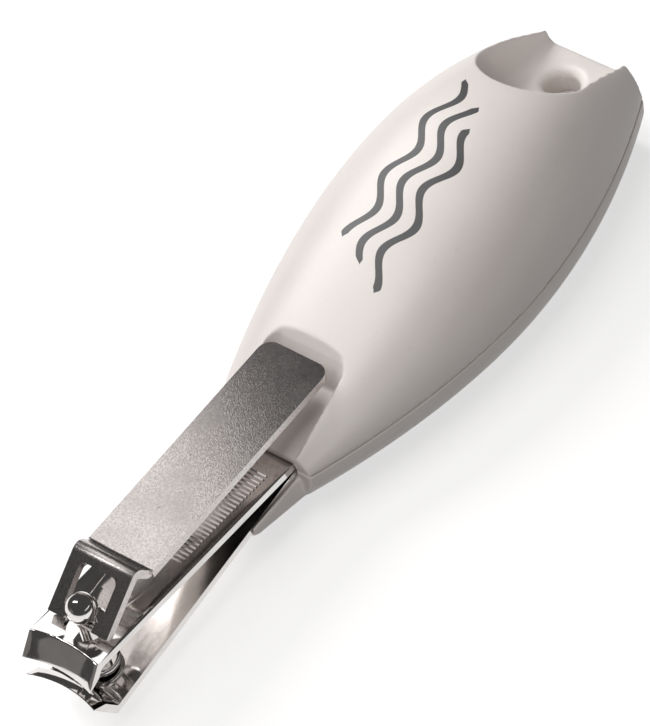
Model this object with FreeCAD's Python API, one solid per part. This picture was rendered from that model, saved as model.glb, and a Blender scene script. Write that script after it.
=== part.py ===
import FreeCAD, Part
import math
import os

# Baby nail clipper with a moulded two-shell handle and a stowed lever.
# Millimetres. +X points to the cutting edges, +Y to one side, +Z up.
# The model is laid out with X = 0 at the tail and moved at the end, so that the
# origin is below the middle of the whole clipper, on the surface it lies on.

os.makedirs("parts", exist_ok=True)
V = FreeCAD.Vector
X_AXIS = V(1, 0, 0)
Y_AXIS = V(0, 1, 0)
Z_AXIS = V(0, 0, 1)

# ---------------------------------------------------------------- handle
HANDLE_LENGTH = 62.0
HANDLE_WIDTH = 27.7
TAIL_WIDTH = 14.4
NECK_WIDTH = 14.0
WIDEST_AT = 30.0
HIGHEST_AT = 22.0
TOP_HEIGHT = 14.4
TAIL_TOP = 7.0
NECK_TOP = 2.9
BOTTOM_DEPTH = 8.15
TAIL_BOTTOM = 6.3
NECK_BOTTOM = 5.5
TOP_ROUNDNESS = 2.3
BOTTOM_ROUNDNESS = 2.6
WALL = 1.8
SEAM_GAP = 0.14
SEAM_GAP_DEPTH = 0.7
TONGUE_LENGTH = 8.2
TONGUE_WIDTH = 10.6
TONGUE_RISE = 2.9
TONGUE_ROUND = 0.9
SOLID_TAIL = 16.5
REST_FLAT_DEPTH = 0.15

# rear scoop and lanyard hole
SCOOP_LENGTH = 13.2
SCOOP_WIDTH = 10.2
SCOOP_ABOVE_SEAM = 3.3
SCOOP_SLOPE = 6.0
SCOOP_DRAFT = 14.0
SCOOP_CREASE = 1.1
SCOOP_NOSE = 0.75
SCOOP_TOOL_HEIGHT = 16.0
SCOOP_BEHIND_TAIL = 3.0
HOLE_RADIUS = 2.05
HOLE_FROM_TAIL = 4.9
HOLE_MOUTH_ROUND = 1.1

# ---------------------------------------------------------------- jaws
SHEET = 0.9
JAW_WIDTH = 9.6
HINGE_INSIDE_NECK = 0.75
JAWS_BELOW_SEAM = 0.14
JAW_TAIL = 16.0
UPPER_SLOPE = 4.9
LOWER_SLOPE = 7.4
UPPER_FOLD_PAST_POST = 3.45
LOWER_FOLD_PAST_POST = 3.35
JOINT_HALF = 0.3
UPPER_LIP_REACH = 1.85
UPPER_LIP_DROP = 2.6
LOWER_LIP_REACH = 2.1
LOWER_LIP_RISE = 4.15
EDGE_HOLLOW = 0.7
BEND_INSIDE = 0.45
BEND_OUTSIDE = 0.3
EDGE_FLAT = 0.12
EDGE_TAPER = 1.6
POST_FROM_HINGE = 30.05
UPPER_HOLE_RADIUS = 2.5
RIDGE_COUNT = 26
RIDGE_PITCH = 0.58
RIDGE_RISE = 0.2
RIDGE_START = 3.6
RIDGE_WIDTH = 6.8

# ---------------------------------------------------------------- lever
LEVER_SHEET = 1.0
LEVER_WIDTH = 9.0
TONGUE_INSET = 0.35
LEVER_ABOVE_JAW = 3.964
LEVER_BEHIND_POST = 38.5
SHOULDER_BEHIND_POST = 7.1
CREST_BEHIND_POST = 5.4
CREST_RISE = 1.75
CREST_BEND = 1.2
RISE_BEND = 0.4
RISE_STEEPNESS = 1.25
BAR_AHEAD = 0.65
BAR_ABOVE_JAW = 1.1
BAR_RADIUS = 0.5
FOOT_PAST_BAR = 0.45
RAIL_WIDTH = 1.55
WINDOW_FROM_CREST = 1.7
LEVER_CORNER = 1.6

# ---------------------------------------------------------------- pocket
POCKET_SIDE_GAP = 0.9
POCKET_END_GAP = 1.2
POCKET_WALL_LEAN = 28.0
POCKET_FLOOR_ABOVE_SEAM = 2.45
POCKET_LIP_ABOVE_SEAM = 1.9
POCKET_LIP_RUN = 4.0
POCKET_CORNER = 1.5
POCKET_BACK_WALL = 3.4

# ---------------------------------------------------------------- post and fasteners
POST_HEAD_RADIUS = 1.8
POST_HEAD_ABOVE_JAW = 2.75
POST_NECK_RADIUS = 1.1
POST_COLLAR_RADIUS = 2.3
POST_COLLAR_HEIGHT = 0.9
POST_FOOT_RADIUS = 2.4
POST_FOOT_HEIGHT = 1.0
RUNNING_GAP = 0.06
HEAD_PLAY = 0.05
NOTCH_GAP = 0.14
RIVET_RADIUS = 1.4
RIVET_HEAD_RADIUS = 2.2
RIVET_HEAD_HEIGHT = 0.55
RIVET_FROM_HINGE = 3.2
SCREW_RADIUS = 1.1
SCREW_HEAD_RADIUS = 2.1
SCREW_HEAD_HEIGHT = 1.3
SCREW_HEAD_INSET = 0.4
SCREW_LENGTH = 12.0
SCREW_FIT = 0.03
DRIVER_LENGTH = 2.2
DRIVER_WIDTH = 0.55
DRIVER_DEPTH = 0.7
SCREW_FROM_HINGE = 12.5
BOSS_RADIUS = 2.6
CLOSING_ANGLE = 2.1
SLIP = 0.15
JAW_ROOM_WALL = 3.0

# ---------------------------------------------------------------- worked out
SEAM_Z = BOTTOM_DEPTH - REST_FLAT_DEPTH
SCOOP_TAIL_Z = SEAM_Z + SCOOP_ABOVE_SEAM
POCKET_FLOOR_Z = SEAM_Z + POCKET_FLOOR_ABOVE_SEAM
POCKET_LIP_Z = SEAM_Z + POCKET_LIP_ABOVE_SEAM
HINGE_X = HANDLE_LENGTH - HINGE_INSIDE_NECK
JAW_PLANE_Z = SEAM_Z - JAWS_BELOW_SEAM
UPPER_FOLD = POST_FROM_HINGE + UPPER_FOLD_PAST_POST
LOWER_FOLD = POST_FROM_HINGE + LOWER_FOLD_PAST_POST
TAIL_SWING = JAW_TAIL * math.tan(math.radians(CLOSING_ANGLE))
UPPER_TOP_Z = JAW_PLANE_Z + SHEET
LOWER_UNDER_Z = JAW_PLANE_Z - SHEET
UPPER_RISE = math.tan(math.radians(UPPER_SLOPE))
LOWER_FALL = math.tan(math.radians(LOWER_SLOPE))
POST_X = HINGE_X + POST_FROM_HINGE
POST_JAW_Z = UPPER_TOP_Z + POST_FROM_HINGE * UPPER_RISE
HEAD_Z = POST_JAW_Z + POST_HEAD_ABOVE_JAW
LEVER_TOP_Z = POST_JAW_Z + LEVER_ABOVE_JAW
LEVER_BACK_X = POST_X - LEVER_BEHIND_POST
LEVER_SHOULDER_X = POST_X - SHOULDER_BEHIND_POST
CREST_X = POST_X - CREST_BEHIND_POST
BAR_X = POST_X + BAR_AHEAD
BAR_Z = POST_JAW_Z + BAR_ABOVE_JAW
RIVET_X = HINGE_X - RIVET_FROM_HINGE
SCREW_X = HINGE_X - SCREW_FROM_HINGE
RIVET_CLEAR = math.tan(math.radians(CLOSING_ANGLE)) * (RIVET_FROM_HINGE + RIVET_HEAD_RADIUS) + HEAD_PLAY
RIVET_TOP_Z = UPPER_TOP_Z + RIVET_CLEAR + RIVET_HEAD_HEIGHT
RIVET_FOOT_Z = LOWER_UNDER_Z - RIVET_CLEAR - RIVET_HEAD_HEIGHT
POCKET_BACK_X = LEVER_BACK_X - POCKET_END_GAP
POCKET_WIDTH = LEVER_WIDTH + 2 * POCKET_SIDE_GAP
SLOT_WIDTH = JAW_WIDTH + 2 * SLIP
SLOT_TOP_Z = UPPER_TOP_Z + TAIL_SWING + SLIP
SLOT_BOTTOM_Z = LOWER_UNDER_Z - TAIL_SWING - SLIP
FAR = 200.0


def box(x0, x1, y0, y1, z0, z1):
    return Part.makeBox(x1 - x0, y1 - y0, z1 - z0, V(x0, y0, z0))


def upright(radius, height, x, z):
    return Part.makeCylinder(radius, height, V(x, 0, z), Z_AXIS)


def polygon(points):
    return Part.makePolygon(points + [points[0]])


def side_prism(points, width):
    """Solid of an X-Z outline, centred on Y = 0."""
    outline = [V(x, -width / 2, z) for x, z in points]
    return Part.Face(polygon(outline)).extrude(V(0, width, 0))


def edges_where(shape, test):
    return [edge for edge in shape.Edges if test(edge)]


def middle(edge):
    return edge.valueAt((edge.FirstParameter + edge.LastParameter) / 2)


# ---------------------------------------------------------------- handle shape
def blend(x, peak_x, tail, peak, neck, rear_power, front_power):
    """Size of a section at x, from the tail to its peak and down to the neck."""
    if x < peak_x:
        return peak - (peak - tail) * (1 - x / peak_x) ** rear_power
    return peak - (peak - neck) * ((x - peak_x) / (HANDLE_LENGTH - peak_x)) ** front_power


def half_width(x):
    return blend(x, WIDEST_AT, TAIL_WIDTH / 2, HANDLE_WIDTH / 2, NECK_WIDTH / 2, 2.0, 1.85)


def top_height(x):
    return blend(x, HIGHEST_AT, TAIL_TOP, TOP_HEIGHT, NECK_TOP, 2.2, 1.45)


def bottom_depth(x):
    return blend(x, WIDEST_AT, TAIL_BOTTOM, BOTTOM_DEPTH, NECK_BOTTOM, 2.0, 1.7)


SCREW_HEAD_Z = SEAM_Z - bottom_depth(SCREW_X) + SCREW_HEAD_INSET
SCREW_TIP_Z = SCREW_HEAD_Z + SCREW_LENGTH


def section(x, inset):
    """Closed rounded section of the handle at x, set in from its skin by inset."""
    points = []
    count = 36
    for step in range(count):
        angle = 2 * math.pi * step / count
        across = math.cos(angle)
        above = math.sin(angle)
        if above >= 0:
            height, roundness = top_height(x) - inset, TOP_ROUNDNESS
        else:
            height, roundness = bottom_depth(x) - inset, BOTTOM_ROUNDNESS
        y = (half_width(x) - inset) * math.copysign(abs(across) ** (2 / roundness), across)
        z = height * math.copysign(abs(above) ** (2 / roundness), above)
        points.append(V(x, y, SEAM_Z + z))
    curve = Part.BSplineCurve()
    curve.interpolate(Points=points, PeriodicFlag=True)
    return Part.Wire([curve.toShape()])


def handle_body(x0, x1, inset, count):
    wires = [section(x0 + (x1 - x0) * step / (count - 1), inset) for step in range(count)]
    return Part.makeLoft(wires, True, False)


def scoop_tool():
    """Dished cut over the tail: a sloping floor, leaning sides and a round front."""
    half = SCOOP_WIDTH / 2
    behind = SCOOP_BEHIND_TAIL
    straight = SCOOP_LENGTH - half * SCOOP_NOSE
    lean = math.tan(math.radians(SCOOP_DRAFT))
    wires = []
    for height in (0.0, SCOOP_TOOL_HEIGHT):
        side = half + height * lean
        front = SCOOP_LENGTH + height * lean
        edges = [
            Part.LineSegment(V(-behind, -side, height), V(straight, -side, height)).toShape(),
            Part.Arc(V(straight, -side, height), V(front, 0, height), V(straight, side, height)).toShape(),
            Part.LineSegment(V(straight, side, height), V(-behind, side, height)).toShape(),
            Part.LineSegment(V(-behind, side, height), V(-behind, -side, height)).toShape(),
        ]
        wires.append(Part.Wire(edges))
    tool = Part.makeLoft(wires, True, False)
    floor_edges = edges_where(tool, lambda edge: abs(middle(edge).z) < 0.01 and middle(edge).x > 0)
    tool = tool.makeFillet(SCOOP_CREASE, floor_edges)
    tool.rotate(V(0, 0, 0), Y_AXIS, -SCOOP_SLOPE)
    tool.translate(V(0, 0, SCOOP_TAIL_Z))
    return tool


def pocket_tool():
    """Space for the stowed lever: open to the front and top, with a leaning rear wall."""
    lean = math.tan(math.radians(POCKET_WALL_LEAN))
    top_z = LEVER_TOP_Z + 8
    lip_x = HANDLE_LENGTH + 1
    outline = [
        (POCKET_BACK_X + 0.9, POCKET_FLOOR_Z),
        (HANDLE_LENGTH - POCKET_LIP_RUN, POCKET_FLOOR_Z),
        (HANDLE_LENGTH, POCKET_LIP_Z),
        (lip_x, POCKET_LIP_Z),
        (lip_x, top_z),
        (POCKET_BACK_X - lean * (top_z - LEVER_TOP_Z) * 1.6, top_z),
        (POCKET_BACK_X - 0.6, LEVER_TOP_Z - LEVER_SHEET),
    ]
    tool = side_prism(outline, POCKET_WIDTH)
    rear_corners = edges_where(
        tool,
        lambda edge: middle(edge).x < POCKET_BACK_X + 0.6
        and abs(abs(middle(edge).y) - POCKET_WIDTH / 2) < 0.01
        and abs(edge.tangentAt(edge.FirstParameter).z) > 0.4,
    )
    return tool.makeFillet(POCKET_CORNER, rear_corners)


def jaw_room():
    """Space in the handle for both jaws, opening towards the front."""
    front = HANDLE_LENGTH + TONGUE_LENGTH + 2
    rear = HINGE_X - JAW_TAIL - 2 * SLIP
    ahead = front - HINGE_X
    outline = [
        (rear, SLOT_BOTTOM_Z),
        (HINGE_X, LOWER_UNDER_Z - SLIP),
        (front, LOWER_UNDER_Z - SLIP - ahead * LOWER_FALL),
        (front, UPPER_TOP_Z + SLIP + ahead * UPPER_RISE),
        (HINGE_X, UPPER_TOP_Z + SLIP),
        (rear, SLOT_TOP_Z),
    ]
    return side_prism(outline, SLOT_WIDTH)


def top_shell(outer, inner):
    shell = outer.common(box(-1, HANDLE_LENGTH, -FAR, FAR, SEAM_Z, FAR))
    hollow = inner.common(box(SOLID_TAIL, POCKET_BACK_X - POCKET_BACK_WALL, -FAR, FAR, -FAR, FAR))
    boss = upright(BOSS_RADIUS, FAR, SCREW_X, SEAM_Z)
    hollow = hollow.cut(boss)
    shell = shell.cut(hollow)
    shell = shell.cut(scoop_tool())
    shell = shell.cut(pocket_tool())
    shell = shell.cut(jaw_room())
    shell = shell.cut(upright(RIVET_HEAD_RADIUS + SLIP, RIVET_TOP_Z + SLIP - SEAM_Z, RIVET_X, SEAM_Z))
    shell = shell.cut(upright(SCREW_RADIUS, SCREW_TIP_Z + SLIP - SEAM_Z, SCREW_X, SEAM_Z))
    shell = shell.cut(upright(HOLE_RADIUS, FAR, HOLE_FROM_TAIL, 0))
    mouth = edges_where(
        shell,
        lambda edge: abs(middle(edge).x - HOLE_FROM_TAIL) < HOLE_RADIUS + 0.3
        and abs(math.hypot(middle(edge).x - HOLE_FROM_TAIL, middle(edge).y) - HOLE_RADIUS) < 0.05
        and middle(edge).z > SEAM_Z + 1
        and edge.Length > HOLE_RADIUS,
    )
    return shell.makeFillet(HOLE_MOUTH_ROUND, mouth)


def bottom_tongue():
    """Front tongue of the bottom shell, rising under the lower jaw."""
    x0 = HANDLE_LENGTH - 8
    x1 = HANDLE_LENGTH + TONGUE_LENGTH
    z0 = SEAM_Z - NECK_BOTTOM
    outline = [(x0, z0 + 0.3), (HANDLE_LENGTH, z0 + 0.6), (x1 - 0.6, z0 + TONGUE_RISE - 0.4), (x1, z0 + TONGUE_RISE)]
    outline += [(x1, SEAM_Z), (x0, SEAM_Z)]
    tongue = side_prism(outline, TONGUE_WIDTH)
    lower_edges = edges_where(
        tongue,
        lambda edge: abs(abs(middle(edge).y) - TONGUE_WIDTH / 2) < 0.01
        and middle(edge).z < z0 + TONGUE_RISE
        and middle(edge).x > x0 + 0.1,
    )
    return tongue.makeFillet(TONGUE_ROUND, lower_edges)


def bottom_shell(outer, inner):
    shell = outer.common(box(-1, HANDLE_LENGTH, -FAR, FAR, 0, SEAM_Z))
    tongue_sides = box(HANDLE_LENGTH - 9, FAR, -FAR, FAR, 0, LOWER_UNDER_Z - SLIP)
    shell = shell.fuse(bottom_tongue().common(tongue_sides))
    hollow = inner.common(box(SOLID_TAIL, HINGE_X - JAW_TAIL - JAW_ROOM_WALL, -FAR, FAR, -FAR, FAR))
    shell = shell.cut(hollow)
    pad = upright(BOSS_RADIUS, SLOT_BOTTOM_Z - WALL, SCREW_X, WALL)
    shell = shell.cut(jaw_room())
    shell = shell.fuse(pad.common(outer))
    shell = shell.cut(upright(SCREW_RADIUS + SLIP, FAR, SCREW_X, -1))
    recess_top = SCREW_HEAD_Z + SCREW_HEAD_HEIGHT + SLIP
    shell = shell.cut(upright(SCREW_HEAD_RADIUS + SLIP, recess_top + 1, SCREW_X, -1))
    rivet_room = upright(RIVET_HEAD_RADIUS + SLIP, SEAM_Z, RIVET_X, RIVET_FOOT_Z - SLIP)
    shell = shell.cut(rivet_room)
    shell = shell.cut(upright(HOLE_RADIUS, FAR, HOLE_FROM_TAIL, -1))
    return shell


def seam_relief(outer):
    """Thin band round the joint that leaves a shadow line between the shells."""
    core = handle_body(SEAM_GAP_DEPTH, HANDLE_LENGTH + 0.5, SEAM_GAP_DEPTH, 10)
    slab = box(-1, HANDLE_LENGTH, -FAR, FAR, SEAM_Z - SEAM_GAP, SEAM_Z)
    return slab.cut(core)


# ---------------------------------------------------------------- jaws
def arc_corner(before, corner, after, radius):
    """Start, middle and end of a round of this radius in the corner."""
    to_before = (before - corner).normalize()
    to_after = (after - corner).normalize()
    half = to_before.getAngle(to_after) / 2
    back = radius / math.tan(half)
    centre = corner + (to_before + to_after).normalize() * (radius / math.sin(half))
    nearest = centre + (corner - centre).normalize() * radius
    return corner + to_before * back, nearest, corner + to_after * back


def lip_face(fold, reach, rise):
    """Cross-section of the turned-up lip at the middle, with a little of the plate behind it.

    The plate's inner surface is Z = 0, and fold is where its outer surface meets the lip.
    """
    back = fold - 2.5
    lean = math.atan2(rise, reach)
    run = V(math.cos(lean), 0, math.sin(lean))
    inward = V(-math.sin(lean), 0, math.cos(lean))
    outer_corner = V(fold, 0, -SHEET)
    inner_corner = V(fold - SHEET * math.tan(lean / 2), 0, 0)
    edge = outer_corner + run * math.hypot(reach, rise)
    edge_inside = edge + inward * EDGE_FLAT
    taper_start = edge - run * EDGE_TAPER + inward * SHEET
    inner_arc = arc_corner(V(back, 0, 0), inner_corner, taper_start, BEND_INSIDE)
    outer_arc = arc_corner(V(back, 0, -SHEET), outer_corner, edge, BEND_OUTSIDE)
    profile = [
        Part.LineSegment(V(back, 0, 0), inner_arc[0]),
        Part.Arc(*inner_arc),
        Part.LineSegment(inner_arc[2], taper_start),
        Part.LineSegment(taper_start, edge_inside),
        Part.LineSegment(edge_inside, edge),
        Part.LineSegment(edge, outer_arc[2]),
        Part.Arc(*outer_arc),
        Part.LineSegment(outer_arc[0], V(back, 0, -SHEET)),
        Part.LineSegment(V(back, 0, -SHEET), V(back, 0, 0)),
    ]
    return Part.Face(Part.Wire(Part.__sortEdges__([piece.toShape() for piece in profile])))


def jaw(fold, slope, reach, rise, hole_radius):
    """One jaw, hinged at the origin, sloping down forwards with its lip turned up.

    The lip is turned about an upright axis ahead of it, so that the fold and the
    cutting edge are hollow in plan.
    """
    half = JAW_WIDTH / 2
    turn_radius = (half ** 2 + EDGE_HOLLOW ** 2) / (2 * EDGE_HOLLOW)
    axis_x = fold + turn_radius
    sweep = 2 * math.degrees(math.asin((half + 0.8) / (turn_radius - reach)))
    face = lip_face(fold, reach, rise)
    face.rotate(V(axis_x, 0, 0), Z_AXIS, -sweep / 2)
    lip = face.revolve(V(axis_x, 0, 0), Z_AXIS, sweep)
    lip = lip.common(box(-FAR, FAR, -half, half, -FAR, FAR))
    plate = box(0, fold - 0.5, -half, half, -SHEET, 0)
    plate = plate.cut(Part.makeCylinder(turn_radius + 1.5, FAR, V(axis_x, 0, -FAR / 2), Z_AXIS))
    body = plate.fuse(lip)
    body.rotate(V(0, 0, 0), Y_AXIS, slope)
    tail = box(-JAW_TAIL, 0, -half, half, -SHEET, 0)
    fall = JOINT_HALF * math.tan(math.radians(slope))
    joint_outline = [(-JOINT_HALF, 0), (JOINT_HALF, -fall), (JOINT_HALF, -SHEET - fall), (-JOINT_HALF, -SHEET)]
    joint = side_prism(joint_outline, JAW_WIDTH)
    body = body.fuse([tail, joint])
    body = body.cut(upright(hole_radius, 20, POST_FROM_HINGE, -15))
    body = body.cut(upright(RIVET_RADIUS + 2 * SLIP, 20, -RIVET_FROM_HINGE, -10))
    body = body.cut(upright(SCREW_RADIUS + 2 * SLIP, 20, -SCREW_FROM_HINGE, -10))
    return body.removeSplitter()


def lower_jaw():
    """Slopes down from the hinge, with its lip turned up."""
    body = jaw(LOWER_FOLD, LOWER_SLOPE, LOWER_LIP_REACH, LOWER_LIP_RISE, POST_NECK_RADIUS + RUNNING_GAP)
    body.translate(V(HINGE_X, 0, JAW_PLANE_Z))
    return body


def upper_jaw():
    """The lower jaw's form turned over, with a wide post hole and cross ridges on top."""
    body = jaw(UPPER_FOLD, UPPER_SLOPE, UPPER_LIP_REACH, UPPER_LIP_DROP, UPPER_HOLE_RADIUS)
    body.rotate(V(0, 0, 0), X_AXIS, 180)
    body.translate(V(HINGE_X, 0, JAW_PLANE_Z))
    ridges = []
    for index in range(RIDGE_COUNT):
        x = RIDGE_START + index * RIDGE_PITCH
        half = RIDGE_PITCH * 0.36
        outline = [(x - half, -0.05), (x, RIDGE_RISE), (x + half, -0.05)]
        ridges.append(side_prism(outline, RIDGE_WIDTH))
    strip = ridges[0].fuse(ridges[1:])
    strip.rotate(V(0, 0, 0), Y_AXIS, -UPPER_SLOPE)
    strip.translate(V(HINGE_X, 0, UPPER_TOP_Z))
    return body.fuse(strip)


# ---------------------------------------------------------------- lever
def sheet_profile(points, radii, sheet):
    """Face of a bent sheet in X-Z: its upper line and a lower line one sheet below."""
    upper = [V(x, 0, z) for x, z in points]
    normals = []
    for first, second in zip(upper, upper[1:]):
        run = (second - first).normalize()
        normals.append(V(run.z, 0, -run.x))
    lower = [upper[0] + normals[0] * sheet]
    for index in range(1, len(upper) - 1):
        bisector = (normals[index - 1] + normals[index]).normalize()
        lower.append(upper[index] + bisector * (sheet / bisector.dot(normals[index])))
    lower.append(upper[-1] + normals[-1] * sheet)
    edges = []
    for line, grow in ((upper, 0), (lower, sheet)):
        here = line[0]
        for index in range(1, len(line) - 1):
            turn = (line[index] - line[index - 1]).cross(line[index + 1] - line[index]).y
            radius = radii[index - 1] + (grow if turn < 0 else -grow)
            start, nearest, end = arc_corner(line[index - 1], line[index], line[index + 1], radius)
            edges.append(Part.LineSegment(here, start).toShape())
            edges.append(Part.Arc(start, nearest, end).toShape())
            here = end
        edges.append(Part.LineSegment(here, line[-1]).toShape())
    edges.append(Part.LineSegment(upper[0], lower[0]).toShape())
    edges.append(Part.LineSegment(upper[-1], lower[-1]).toShape())
    return Part.Face(Part.Wire(Part.__sortEdges__(edges)))


def lever():
    crest = V(CREST_X, 0, LEVER_TOP_Z + CREST_RISE)
    bar = V(BAR_X, 0, BAR_Z)
    span = bar - crest
    half_sheet = LEVER_SHEET / 2
    lean = math.asin(half_sheet / span.Length)
    angle = math.atan2(span.z, span.x) + lean
    run = V(math.cos(angle), 0, math.sin(angle))
    foot = crest + run * (span.Length * math.cos(lean) + FOOT_PAST_BAR)
    rise_x = CREST_X - (CREST_RISE + 0.35) / RISE_STEEPNESS
    outline = [
        (LEVER_BACK_X, LEVER_TOP_Z),
        (rise_x, LEVER_TOP_Z),
        (CREST_X, LEVER_TOP_Z + CREST_RISE + 0.35),
        (foot.x, foot.z),
    ]
    face = sheet_profile(outline, [RISE_BEND, CREST_BEND], LEVER_SHEET)
    face.translate(V(0, -LEVER_WIDTH / 2, 0))
    plate = face.extrude(V(0, LEVER_WIDTH, 0))
    tongue_half = LEVER_WIDTH / 2 - TONGUE_INSET
    for side in (-1, 1):
        y0, y1 = sorted((side * tongue_half, side * LEVER_WIDTH))
        plate = plate.cut(box(LEVER_SHOULDER_X, FAR, y0, y1, 0, FAR))
    corners = edges_where(
        plate,
        lambda edge: abs(middle(edge).x - LEVER_BACK_X) < 0.01
        and abs(edge.tangentAt(edge.FirstParameter).z) > 0.9,
    )
    plate = plate.makeFillet(LEVER_CORNER, corners)

    # the window runs from below the crest to the bar, square to the folded plate
    window_half = tongue_half - RAIL_WIDTH
    window = box(WINDOW_FROM_CREST, span.Length - BAR_RADIUS - 0.15, -window_half, window_half, -4, 4)
    upright_edges = edges_where(window, lambda edge: abs(edge.tangentAt(edge.FirstParameter).z) > 0.9)
    window = window.makeFillet(0.9, upright_edges)
    window.rotate(V(0, 0, 0), Y_AXIS, -math.degrees(angle))
    window.translate(crest)
    plate = plate.cut(window)

    # the middle of the bar is turned round so that it can roll in the post's notch
    gap_half = POST_HEAD_RADIUS + NOTCH_GAP
    bar_zone = box(span.Length - BAR_RADIUS - 1.2, span.Length + 2, -gap_half, gap_half, -4, 4)
    bar_zone.rotate(V(0, 0, 0), Y_AXIS, -math.degrees(angle))
    bar_zone.translate(crest)
    plate = plate.cut(bar_zone)
    round_bar = Part.makeCylinder(BAR_RADIUS, 2 * gap_half + 1.2, V(BAR_X, -gap_half - 0.6, BAR_Z), Y_AXIS)
    return plate.fuse(round_bar).removeSplitter()


# ---------------------------------------------------------------- post and fasteners
def pivot_post():
    lower_top = JAW_PLANE_Z - POST_FROM_HINGE * LOWER_FALL
    collar_z = lower_top + (POST_COLLAR_RADIUS + 0.2) * LOWER_FALL + 0.05
    under = lower_top - SHEET / math.cos(math.radians(LOWER_SLOPE))
    foot_top = under - (POST_FOOT_RADIUS + 0.2) * LOWER_FALL - 0.05
    neck = upright(POST_NECK_RADIUS, HEAD_Z - foot_top + 0.3, POST_X, foot_top - 0.3)
    head = Part.makeSphere(POST_HEAD_RADIUS, V(POST_X, 0, HEAD_Z))
    collar = upright(POST_COLLAR_RADIUS, POST_COLLAR_HEIGHT, POST_X, collar_z)
    collar = collar.makeFillet(0.4, [collar.Edges[0], collar.Edges[2]])
    foot = upright(POST_FOOT_RADIUS, POST_FOOT_HEIGHT, POST_X, foot_top - POST_FOOT_HEIGHT)
    lower_rims = edges_where(foot, lambda edge: abs(middle(edge).z - foot_top + POST_FOOT_HEIGHT) < 0.01)
    foot = foot.makeFillet(0.5, [edge for edge in lower_rims if edge.Curve.TypeId == "Part::GeomCircle"])
    post = head.fuse([neck, collar, foot])
    notch_radius = BAR_RADIUS + NOTCH_GAP
    notch = Part.makeCylinder(notch_radius, 8, V(BAR_X, -4, BAR_Z), Y_AXIS)
    slot = box(BAR_X, BAR_X + 4, -4, 4, BAR_Z - notch_radius, BAR_Z + notch_radius)
    return post.cut(notch).cut(slot).removeSplitter()


def rear_rivet():
    """Joins the jaws behind the point where they part."""
    shank = upright(RIVET_RADIUS, RIVET_TOP_Z - RIVET_FOOT_Z, RIVET_X, RIVET_FOOT_Z)
    upper_head = upright(RIVET_HEAD_RADIUS, RIVET_HEAD_HEIGHT, RIVET_X, RIVET_TOP_Z - RIVET_HEAD_HEIGHT)
    lower_head = upright(RIVET_HEAD_RADIUS, RIVET_HEAD_HEIGHT, RIVET_X, RIVET_FOOT_Z)
    return shank.fuse([upper_head, lower_head]).removeSplitter()


def housing_screw():
    """Sunk in the underside, it holds the shells and the jaws together."""
    head = upright(SCREW_HEAD_RADIUS, SCREW_HEAD_HEIGHT, SCREW_X, SCREW_HEAD_Z)
    shank = upright(SCREW_RADIUS - SCREW_FIT, SCREW_LENGTH, SCREW_X, SCREW_HEAD_Z)
    arms = []
    for length, width in ((DRIVER_LENGTH, DRIVER_WIDTH), (DRIVER_WIDTH, DRIVER_LENGTH)):
        driver_top = SCREW_HEAD_Z + DRIVER_DEPTH
        arms.append(box(SCREW_X - length / 2, SCREW_X + length / 2, -width / 2, width / 2, 0, driver_top))
    return head.fuse(shank).cut(arms[0].fuse(arms[1])).removeSplitter()


# ---------------------------------------------------------------- build
outer_body = handle_body(0, HANDLE_LENGTH + 1, 0, 13)
inner_body = handle_body(SOLID_TAIL - 3, HANDLE_LENGTH, WALL, 11)

nodes = {
    "handle_top_shell": top_shell(outer_body, inner_body),
    "handle_bottom_shell": bottom_shell(outer_body, inner_body).cut(seam_relief(outer_body)),
    "upper_jaw": upper_jaw(),
    "lower_jaw": lower_jaw(),
    "lever": lever(),
    "pivot_post": pivot_post(),
    "rear_rivet": rear_rivet(),
    "housing_screw": housing_screw(),
}

front_x = max(shape.BoundBox.XMax for shape in nodes.values())
to_origin = V(-front_x / 2, 0, 0)
for name, shape in nodes.items():
    shape.translate(to_origin)
    shape.exportStep("parts/" + name + ".step")
    box_mm = shape.BoundBox
    print(name, "valid", shape.isValid(), "solids", len(shape.Solids), "volume %.1f" % shape.Volume,
          "x %.2f..%.2f y %.2f..%.2f z %.2f..%.2f" % (box_mm.XMin, box_mm.XMax, box_mm.YMin,
                                                       box_mm.YMax, box_mm.ZMin, box_mm.ZMax))
print("whole length %.2f" % front_x)
print("hinge x %.3f post x %.3f bar x %.3f z %.3f" % (HINGE_X - front_x / 2, POST_X - front_x / 2,
                                                       BAR_X - front_x / 2, BAR_Z))
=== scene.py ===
import math

import bpy
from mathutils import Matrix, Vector


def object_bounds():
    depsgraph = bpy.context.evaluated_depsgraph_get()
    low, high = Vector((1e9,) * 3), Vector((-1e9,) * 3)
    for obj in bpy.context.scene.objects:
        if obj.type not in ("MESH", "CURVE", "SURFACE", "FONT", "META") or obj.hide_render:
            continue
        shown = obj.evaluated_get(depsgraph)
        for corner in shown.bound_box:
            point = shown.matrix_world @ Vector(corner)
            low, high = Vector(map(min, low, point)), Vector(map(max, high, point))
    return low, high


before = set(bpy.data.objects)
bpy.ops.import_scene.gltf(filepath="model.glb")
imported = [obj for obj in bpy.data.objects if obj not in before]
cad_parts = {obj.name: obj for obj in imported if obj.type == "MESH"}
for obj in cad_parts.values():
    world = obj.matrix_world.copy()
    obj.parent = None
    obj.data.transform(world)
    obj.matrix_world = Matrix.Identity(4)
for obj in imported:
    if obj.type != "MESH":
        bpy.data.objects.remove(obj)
CAD_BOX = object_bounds()
MM = 0.001

# ---------------------------------------------------------------- camera
CAMERA_AZIMUTH = 50.72
CAMERA_ELEVATION = 49.45
CAMERA_ROLL = -16.73
CAMERA_DISTANCE = 596.9 * MM
CAMERA_AIM_FROM_TAIL = 57.38 * MM
CAMERA_AIM_ASIDE = 9.46 * MM
CAMERA_AIM_HEIGHT = 24.43 * MM
CAMERA_LENS = 278.3
CAMERA_SENSOR = 36.0
CAMERA_REACH = 20.0

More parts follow.
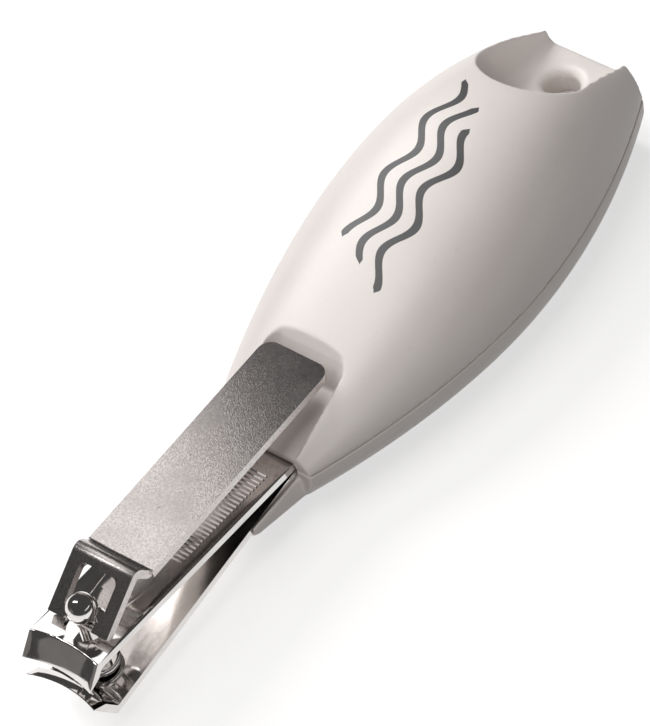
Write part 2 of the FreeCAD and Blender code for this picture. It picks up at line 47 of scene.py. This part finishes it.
# ---------------------------------------------------------------- printed wave on the handle
PRINT_START = -33.0 * MM
PRINT_END = -5.5 * MM
PRINT_STRIPES = 3
PRINT_PITCH = 2.7 * MM
PRINT_HALF_STROKE = 0.5 * MM
PRINT_WAVE_HEIGHT = 0.95 * MM
PRINT_WAVE_LENGTH = 8.0 * MM
PRINT_START_STEP = 3.0 * MM
PRINT_END_STEP = 2.0 * MM
PRINT_TAPER = 0.8 * MM
PRINT_SOFT_EDGE = 0.03 * MM
PRINT_THINNEST = 0.02
PRINT_ABOVE = 14.0 * MM
PRINT_INK = (0.075, 0.075, 0.078, 1.0)

# ---------------------------------------------------------------- edges
SHELLS = ("handle_top_shell", "handle_bottom_shell")
CHROMED = ("upper_jaw", "lower_jaw", "pivot_post")
FASTENERS = ("rear_rivet", "housing_screw")
SKIN_VOXEL = 0.20 * MM
SKIN_PASSES = 3
SKIN_SMOOTHING = 0.5
EASED_WIDTHS = {
    "upper_jaw": 0.07 * MM,
    "lower_jaw": 0.07 * MM,
    "lever": 0.12 * MM,
    "housing_screw": 0.1 * MM,
}
WELD_DISTANCE = 0.002 * MM
EASED_SEGMENTS = 2
EASED_ABOVE_ANGLE = 32.0

# ---------------------------------------------------------------- stage
FLOOR_SIZE = 8.0
FLOOR_BELOW = 0.05 * MM
FLOOR_GLOW = 0.62
WHITE = (1.0, 1.0, 1.0)
KEY_WHITE = (1.0, 0.985, 0.975)
FILL_WHITE = (1.0, 0.96, 0.93)
PLATE_WHITE = (1.0, 0.98, 0.97)
LIP_WHITE = (1.0, 0.95, 0.93)
SURROUNDINGS = (0.80, 0.78, 0.78, 1.0)
SURROUNDINGS_STRENGTH = 0.08

# places that the lights are aimed at
HANDLE_MIDDLE = (-15.0 * MM, 0.0, 12.0 * MM)
LEVER_PLATE = (36.0 * MM, 0.0, 15.3 * MM)
LEVER_CREST = (37.0 * MM, 0.0, 17.0 * MM)
JAW_FRONT_BAND = (46.3 * MM, 0.0, 11.6 * MM)
UPPER_LIP = (46.0 * MM, 0.0, 10.0 * MM)
JAWS_MIDDLE = (30.0 * MM, 0.0, 10.0 * MM)
BAND_LIGHT_TWIST = -0.57


def make_camera():
    """The picture's own view: direction, roll and aim, all from the frame of the model."""
    azimuth = math.radians(CAMERA_AZIMUTH)
    elevation = math.radians(CAMERA_ELEVATION)
    roll = math.radians(CAMERA_ROLL)
    towards = Vector((math.cos(elevation) * math.cos(azimuth),
                      math.cos(elevation) * math.sin(azimuth),
                      math.sin(elevation)))
    level_right = Vector((-math.sin(azimuth), math.cos(azimuth), 0.0))
    level_up = towards.cross(level_right)
    right = level_right * math.cos(roll) + level_up * math.sin(roll)
    up = towards.cross(right)
    data = bpy.data.cameras.new("camera")
    data.lens = CAMERA_LENS
    data.sensor_width = CAMERA_SENSOR
    data.sensor_fit = "AUTO"
    data.clip_end = CAMERA_REACH
    camera = bpy.data.objects.new("camera", data)
    bpy.context.scene.collection.objects.link(camera)
    matrix = camera.matrix_world.copy()
    for column, axis in enumerate((right, up, towards)):
        for row in range(3):
            matrix[row][column] = axis[row]
    aim = Vector((CAD_BOX[0][0] + CAMERA_AIM_FROM_TAIL, CAMERA_AIM_ASIDE, CAMERA_AIM_HEIGHT))
    place = aim + towards * CAMERA_DISTANCE
    for row in range(3):
        matrix[row][3] = place[row]
    camera.matrix_world = matrix
    bpy.context.scene.camera = camera


# ---------------------------------------------------------------- node helpers
class Graph:
    """Short calls for building one node material."""

    def __init__(self, name):
        self.material = bpy.data.materials.new(name)
        self.material.use_nodes = True
        self.tree = self.material.node_tree
        self.shader = self.tree.nodes["Principled BSDF"]
        self.coords = self.tree.nodes.new("ShaderNodeTexCoord").outputs["Object"]

    def link(self, out, socket):
        self.tree.links.new(out, socket)

    def put(self, socket, value):
        if isinstance(value, bpy.types.NodeSocket):
            self.link(value, socket)
        else:
            socket.default_value = value

    def noise(self, scale, detail=3.0, roughness=0.5, vector=None):
        node = self.tree.nodes.new("ShaderNodeTexNoise")
        self.link(vector or self.coords, node.inputs["Vector"])
        node.inputs["Scale"].default_value = scale
        node.inputs["Detail"].default_value = detail
        node.inputs["Roughness"].default_value = roughness
        return node.outputs["Fac"]

    def voronoi(self, scale):
        node = self.tree.nodes.new("ShaderNodeTexVoronoi")
        self.link(self.coords, node.inputs["Vector"])
        node.inputs["Scale"].default_value = scale
        return node.outputs["Distance"]

    def stretched(self, factors):
        node = self.tree.nodes.new("ShaderNodeMapping")
        self.link(self.coords, node.inputs["Vector"])
        node.inputs["Scale"].default_value = factors
        return node.outputs["Vector"]

    def split(self):
        node = self.tree.nodes.new("ShaderNodeSeparateXYZ")
        self.link(self.coords, node.inputs[0])
        return node.outputs[0], node.outputs[1], node.outputs[2]

    def math(self, kind, first, second=0.0):
        node = self.tree.nodes.new("ShaderNodeMath")
        node.operation = kind
        self.put(node.inputs[0], first)
        self.put(node.inputs[1], second)
        return node.outputs[0]

    def spread(self, value, low, high, new_low, new_high):
        """Maps low..high to new_low..new_high with soft ends."""
        node = self.tree.nodes.new("ShaderNodeMapRange")
        node.interpolation_type = "SMOOTHSTEP"
        for index, item in enumerate((value, low, high, new_low, new_high)):
            self.put(node.inputs[index], item)
        return node.outputs[0]

    def mix(self, factor, first, second):
        node = self.tree.nodes.new("ShaderNodeMix")
        node.data_type = "RGBA"
        self.put(node.inputs["Factor"], factor)
        self.put(node.inputs["A"], first)
        self.put(node.inputs["B"], second)
        return node.outputs["Result"]

    def bump(self, height, distance, strength):
        node = self.tree.nodes.new("ShaderNodeBump")
        node.inputs["Strength"].default_value = strength
        node.inputs["Distance"].default_value = distance
        self.link(height, node.inputs["Height"])
        self.link(node.outputs["Normal"], self.shader.inputs["Normal"])

    def set(self, **values):
        """Shader inputs by name: base_color sets Base Color."""
        for name, value in values.items():
            self.put(self.shader.inputs[name.replace("_", " ").title().replace("Ior", "IOR")], value)


def wave_print(graph):
    """1 on the ink of the printed waves, 0 elsewhere: soft-edged sine stripes on the top."""
    x, y, z = graph.split()
    turns = graph.math("MULTIPLY", x, 2 * math.pi / PRINT_WAVE_LENGTH)
    sway = graph.math("MULTIPLY", graph.math("SINE", turns), PRINT_WAVE_HEIGHT)
    across = graph.math("SUBTRACT", y, sway)
    ink = None
    for index in range(PRINT_STRIPES):
        centre = (index - (PRINT_STRIPES - 1) / 2) * PRINT_PITCH
        shift = graph.math("ABSOLUTE", graph.math("SUBTRACT", across, centre))
        start = PRINT_START + PRINT_START_STEP * index
        end = PRINT_END + PRINT_END_STEP * (index - PRINT_STRIPES + 1)
        inside_start = graph.spread(x, start, start + PRINT_TAPER, 0.0, 1.0)
        inside_end = graph.spread(x, end - PRINT_TAPER, end, 1.0, 0.0)
        taper = graph.math("MULTIPLY", inside_start, inside_end)
        stroke = graph.math("MULTIPLY", taper, PRINT_HALF_STROKE)
        edge = graph.math("SUBTRACT", shift, stroke)
        stripe = graph.spread(edge, -PRINT_SOFT_EDGE, PRINT_SOFT_EDGE, 1.0, 0.0)
        stripe = graph.math("MULTIPLY", stripe, graph.math("GREATER_THAN", taper, PRINT_THINNEST))
        ink = stripe if ink is None else graph.math("MAXIMUM", ink, stripe)
    return graph.math("MULTIPLY", ink, graph.math("GREATER_THAN", z, PRINT_ABOVE))


def handle_plastic(printed):
    """Satin warm-white plastic with faint clouds, specks and a fine grain."""
    graph = Graph("handle_plastic_printed" if printed else "handle_plastic_plain")
    cloud = graph.spread(graph.noise(55.0, 4.0), 0.3, 0.7, 0.0, 1.0)
    grain = graph.noise(5200.0, 2.0)
    speck = graph.spread(graph.noise(900.0, 1.0), 0.68, 0.76, 0.0, 1.0)
    colour = graph.mix(cloud, (0.80, 0.745, 0.715, 1.0), (0.845, 0.795, 0.765, 1.0))
    colour = graph.mix(graph.math("MULTIPLY", speck, 0.10), colour, (0.62, 0.55, 0.50, 1.0))
    roughness = graph.spread(cloud, 0.0, 1.0, 0.36, 0.43)
    if printed:
        ink = wave_print(graph)
        colour = graph.mix(ink, colour, PRINT_INK)
        roughness = graph.math("ADD", roughness, graph.math("MULTIPLY", ink, 0.08))
    graph.set(base_color=colour, roughness=roughness, ior=1.48)
    graph.shader.inputs["Subsurface Weight"].default_value = 0.06
    graph.shader.inputs["Subsurface Radius"].default_value = (1.0, 0.8, 0.65)
    graph.shader.inputs["Subsurface Scale"].default_value = 0.6 * MM
    graph.shader.inputs["Coat Weight"].default_value = 0.12
    graph.shader.inputs["Coat Roughness"].default_value = 0.28
    graph.bump(grain, 0.006 * MM, 0.5)
    return graph.material


def chrome():
    """Polished plating with smears and fine lines along the jaws."""
    graph = Graph("jaw_chrome")
    smear = graph.noise(160.0, 5.0, 0.6)
    lines = graph.noise(900.0, 3.0, 0.6, graph.stretched((0.06, 1.0, 1.0)))
    tone = graph.spread(smear, 0.3, 0.75, 0.0, 1.0)
    colour = graph.mix(tone, (0.80, 0.775, 0.76, 1.0), (0.70, 0.675, 0.66, 1.0))
    roughness = graph.math("ADD", graph.spread(smear, 0.35, 0.8, 0.05, 0.13),
                           graph.spread(lines, 0.4, 0.8, 0.0, 0.05))
    graph.set(base_color=colour, metallic=1.0, roughness=roughness)
    graph.bump(lines, 0.004 * MM, 0.35)
    return graph.material


def satin_plate():
    """Blasted plating of the lever, with faint stains and pits."""
    graph = Graph("lever_satin")
    blast = graph.noise(4200.0, 2.0, 0.7)
    fine = graph.voronoi(6500.0)
    stain = graph.noise(120.0, 4.0, 0.6)
    pits = graph.spread(graph.noise(1500.0, 0.0), 0.80, 0.84, 0.0, 1.0)
    tone = graph.spread(blast, 0.32, 0.68, 0.0, 1.0)
    colour = graph.mix(tone, (0.50, 0.465, 0.455, 1.0), (0.70, 0.665, 0.65, 1.0))
    faint_stain = graph.math("MULTIPLY", graph.spread(stain, 0.4, 0.75, 0.0, 1.0), 0.25)
    colour = graph.mix(faint_stain, colour, (0.48, 0.45, 0.44, 1.0))
    colour = graph.mix(graph.math("MULTIPLY", pits, 0.5), colour, (0.25, 0.23, 0.22, 1.0))
    roughness = graph.spread(stain, 0.3, 0.75, 0.24, 0.30)
    graph.set(base_color=colour, metallic=1.0, roughness=roughness)
    graph.bump(graph.math("ADD", blast, fine), 0.012 * MM, 0.55)
    return graph.material


def fastener_steel():
    """Duller plating of the hidden rivet and the screw."""
    graph = Graph("fastener_steel")
    cloud = graph.noise(700.0, 4.0, 0.6)
    tone = graph.spread(cloud, 0.3, 0.7, 0.0, 1.0)
    colour = graph.mix(tone, (0.52, 0.52, 0.53, 1.0), (0.68, 0.67, 0.66, 1.0))
    graph.set(base_color=colour, metallic=1.0, roughness=graph.spread(cloud, 0.3, 0.7, 0.24, 0.38))
    graph.bump(cloud, 0.01 * MM, 0.4)
    return graph.material


# ---------------------------------------------------------------- finishing the CAD nodes
def dress(node, material):
    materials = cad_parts[node].data.materials
    materials.clear()
    materials.append(material)


def soft_moulding(node):
    """Rounds every moulded edge a little, as a plastic part leaves its tool."""
    mesh_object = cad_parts[node]
    remesh = mesh_object.modifiers.new("even_skin", "REMESH")
    remesh.mode = "VOXEL"
    remesh.voxel_size = SKIN_VOXEL
    remesh.use_smooth_shade = True
    smooth = mesh_object.modifiers.new("soft_edges", "SMOOTH")
    smooth.factor = SKIN_SMOOTHING
    smooth.iterations = SKIN_PASSES


def eased_edges(node, width):
    """A small round on stamped and turned edges, which catches the light."""
    mesh_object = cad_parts[node]
    weld = mesh_object.modifiers.new("joined", "WELD")
    weld.merge_threshold = WELD_DISTANCE
    bevel = mesh_object.modifiers.new("eased", "BEVEL")
    bevel.width = width
    bevel.segments = EASED_SEGMENTS
    bevel.limit_method = "ANGLE"
    bevel.angle_limit = math.radians(EASED_ABOVE_ANGLE)
    bevel.use_clamp_overlap = True


# ---------------------------------------------------------------- floor and lights
def make_floor():
    half = FLOOR_SIZE / 2
    z = CAD_BOX[0][2] - FLOOR_BELOW
    corners = [(-half, -half, z), (half, -half, z), (half, half, z), (-half, half, z)]
    mesh = bpy.data.meshes.new("floor")
    mesh.from_pydata(corners, [], [(0, 1, 2, 3)])
    floor = bpy.data.objects.new("floor", mesh)
    bpy.context.scene.collection.objects.link(floor)
    graph = Graph("floor_paper")
    cloud = graph.noise(6.0, 2.0)
    graph.set(base_color=graph.mix(cloud, (0.50, 0.495, 0.49, 1.0), (0.53, 0.525, 0.52, 1.0)), roughness=0.9)
    graph.shader.inputs["Emission Color"].default_value = (1.0, 1.0, 1.0, 1.0)
    graph.shader.inputs["Emission Strength"].default_value = FLOOR_GLOW
    mesh.materials.append(graph.material)
    floor.visible_diffuse = False
    return floor


def lit_group(name, things):
    """Objects that one set of lights falls on."""
    group = bpy.data.collections.new(name)
    for thing in things:
        group.objects.link(thing)
    return group


def aimed_light(name, group, target, direction, distance, size, power, colour=WHITE):
    """Softbox at a distance from its target, for one group of objects."""
    data = bpy.data.lights.new(name, "AREA")
    data.shape = "RECTANGLE"
    data.size, data.size_y = size
    data.energy = power
    data.color = colour
    light = bpy.data.objects.new(name, data)
    bpy.context.scene.collection.objects.link(light)
    place = Vector(target) + Vector(direction).normalized() * distance
    light.location = place
    light.rotation_euler = (Vector(target) - place).to_track_quat("-Z", "Y").to_euler()
    light.visible_camera = False
    light.light_linking.receiver_collection = group
    return light


def make_lights(floor):
    """Softboxes for the plastic and the floor, and smaller lights for the bright metal.

    Each light is given as a direction from its target, a distance, its two sides and its power.
    """
    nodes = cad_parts
    plastic = lit_group("plastic_lit", [nodes[node] for node in SHELLS] + [floor])
    metal = lit_group("metal_lit", [thing for node, thing in nodes.items() if node not in SHELLS])
    lever = lit_group("lever_lit", [nodes["lever"]])
    upper_jaw = lit_group("upper_jaw_lit", [nodes["upper_jaw"]])

    aimed_light("key_softbox", plastic, HANDLE_MIDDLE, (-0.10, -0.62, 0.62), 0.60,
                (0.34, 0.34), 2.45, KEY_WHITE)
    aimed_light("top_softbox", plastic, HANDLE_MIDDLE, (0.35, -0.05, 0.9), 0.60, (0.40, 0.40), 1.7)
    aimed_light("side_fill", plastic, HANDLE_MIDDLE, (0.3, 0.8, 0.35), 0.60, (0.40, 0.30), 0.62, FILL_WHITE)
    aimed_light("plate_glow", lever, LEVER_PLATE, (-0.34, -0.50, 0.76), 0.085,
                (0.034, 0.060), 0.0085, PLATE_WHITE)
    band_glow = aimed_light("fold_glow", upper_jaw, JAW_FRONT_BAND, (-0.535, -0.503, 0.679), 0.030,
                            (0.0125, 0.0042), 0.00024)
    band_glow.rotation_euler.rotate_axis("Z", BAND_LIGHT_TWIST)
    aimed_light("lip_glow", metal, UPPER_LIP, (0.865, -0.50, 0.10), 0.30, (0.16, 0.16), 0.010, LIP_WHITE)
    aimed_light("side_strip", metal, JAWS_MIDDLE, (-0.1, 0.9, 0.45), 0.35, (0.30, 0.02), 0.030)
    aimed_light("crest_strip", metal, LEVER_CREST, (0.12, -0.50, 0.86), 0.30, (0.05, 0.16), 0.12)


def make_surroundings():
    world = bpy.data.worlds.new("studio")
    world.use_nodes = True
    background = world.node_tree.nodes["Background"]
    background.inputs["Color"].default_value = SURROUNDINGS
    background.inputs["Strength"].default_value = SURROUNDINGS_STRENGTH
    bpy.context.scene.world = world


# ---------------------------------------------------------------- build
make_camera()
dress("handle_top_shell", handle_plastic(True))
dress("handle_bottom_shell", handle_plastic(False))
dress("lever", satin_plate())
for names, material in ((CHROMED, chrome()), (FASTENERS, fastener_steel())):
    for name in names:
        dress(name, material)
for shell in SHELLS:
    soft_moulding(shell)
for node, width in EASED_WIDTHS.items():
    eased_edges(node, width)
make_lights(make_floor())
make_surroundings()
bpy.context.scene.view_settings.view_transform = "Standard"
